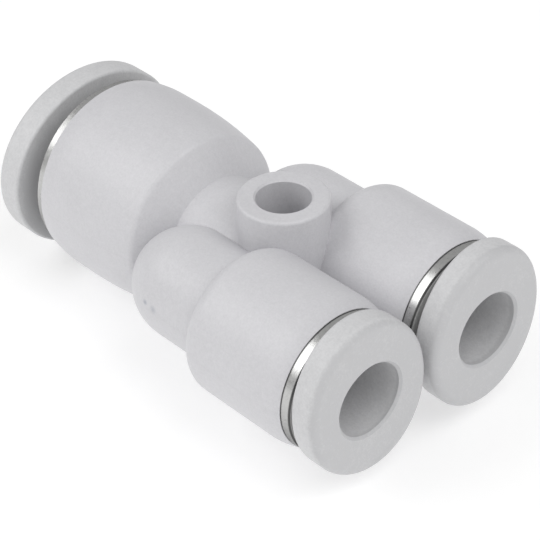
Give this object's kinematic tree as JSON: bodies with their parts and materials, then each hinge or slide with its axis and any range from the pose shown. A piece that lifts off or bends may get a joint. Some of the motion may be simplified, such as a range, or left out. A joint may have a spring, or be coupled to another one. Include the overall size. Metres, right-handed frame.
{
  "type": "push-in tubing y connector",
  "caption": "Push-in Y connector for round plastic tube: one larger common port, a pair of side-by-side branch ports, oval release buttons and a screw-hole boss.",
  "frame": {"origin": "centre of the screw hole's boss, on the plane of the port axes", "axes": "+X along the ports towards the two branch ports, -X towards the common port; +Z along the screw hole; the branch ports stand side by side along Y"},
  "size_m": [0.0434, 0.0252, 0.017],
  "materials": {
    "body": "light grey moulded PBT, soft satin",
    "release_button": "light grey moulded acetal, soft satin",
    "guide_ring": "bright nickel plate on turned brass",
    "claw_ring": "pressed spring stainless steel",
    "collet": "natural acetal",
    "seal": "black nitrile rubber"
  },
  "bodies": {
    "fitting": {"body": "body", "guide_ring_common": "guide_ring", "claw_ring_common": "claw_ring", "collet_common": "collet", "seal_common": "seal", "guide_ring_left": "guide_ring", "claw_ring_left": "claw_ring", "collet_left": "collet", "seal_left": "seal", "guide_ring_right": "guide_ring", "claw_ring_right": "claw_ring", "collet_right": "collet", "seal_right": "seal"},
    "button_common": {"release_button_common": "release_button"},
    "button_left": {"release_button_left": "release_button"},
    "button_right": {"release_button_right": "release_button"}
  },
  "joints": [
    {"name": "press_common", "type": "slide", "parent": "fitting", "child": "button_common", "axis": [1, 0, 0], "range_m": [0, 0.0018]},
    {"name": "press_left", "type": "slide", "parent": "fitting", "child": "button_left", "axis": [-1, 0, 0], "range_m": [-0.00155, 0.00025]},
    {"name": "press_right", "type": "slide", "parent": "fitting", "child": "button_right", "axis": [-1, 0, 0], "range_m": [-0.0013, 0.0005]}
  ]
}
